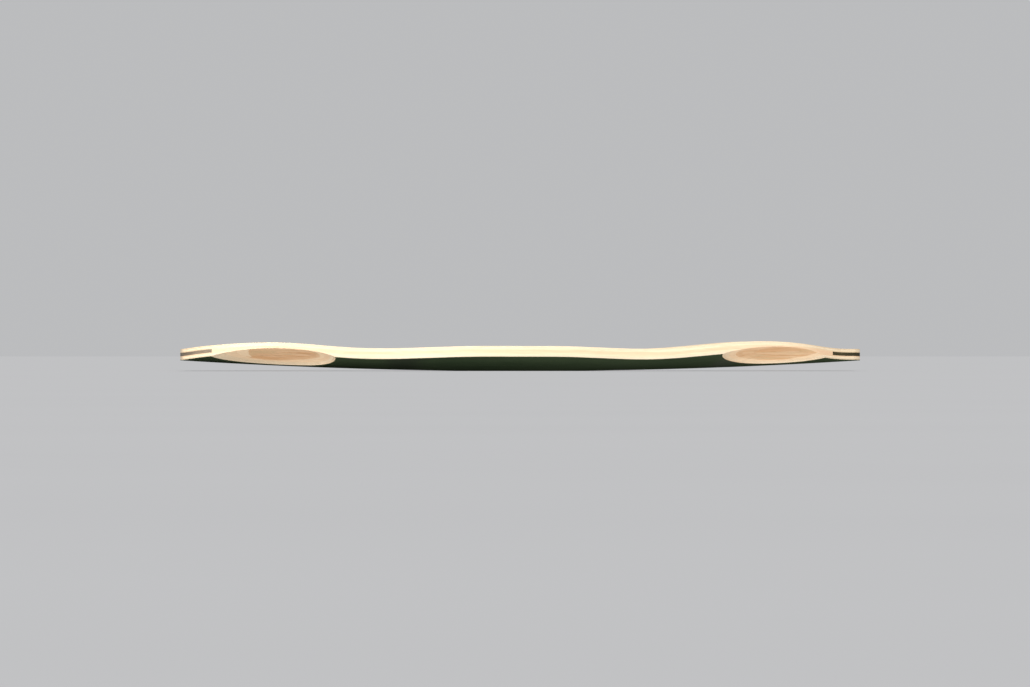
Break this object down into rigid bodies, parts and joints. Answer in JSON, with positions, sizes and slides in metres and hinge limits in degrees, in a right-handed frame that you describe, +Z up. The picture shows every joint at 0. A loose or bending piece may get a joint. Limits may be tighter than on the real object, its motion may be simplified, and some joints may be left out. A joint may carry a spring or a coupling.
{
  "type": "transfer board",
  "caption": "Moulded laminated timber board that bridges two seats for a sliding transfer, with finger scoops under the rails and dark tip inserts",
  "frame": {"origin": "under the middle of the board, on the plane it stands on", "axes": "+X along the board, +Y across it, +Z up out of the sliding face"},
  "size_m": [0.76, 0.2322, 0.0331],
  "materials": {
    "pale_veneer": "satin clear coat over pale birch or maple veneer",
    "core_veneer": "sanded tan-brown veneer, seen inside the scoops",
    "base_green": "dark olive green matt laminate",
    "tip_insert": "brown-grey dense composite, cut and sanded flush"
  },
  "bodies": {
    "root": {"base_laminate": "base_green", "bottom_face_veneer": "pale_veneer", "bottom_cross_veneer": "pale_veneer", "bottom_inner_veneer": "pale_veneer", "lower_core_veneer": "core_veneer", "middle_core_veneer": "core_veneer", "upper_core_veneer": "core_veneer", "top_inner_veneer": "pale_veneer", "top_cross_veneer": "pale_veneer", "top_face_veneer": "pale_veneer", "left_tip_insert": "tip_insert", "right_tip_insert": "tip_insert"}
  },
  "joints": []
}
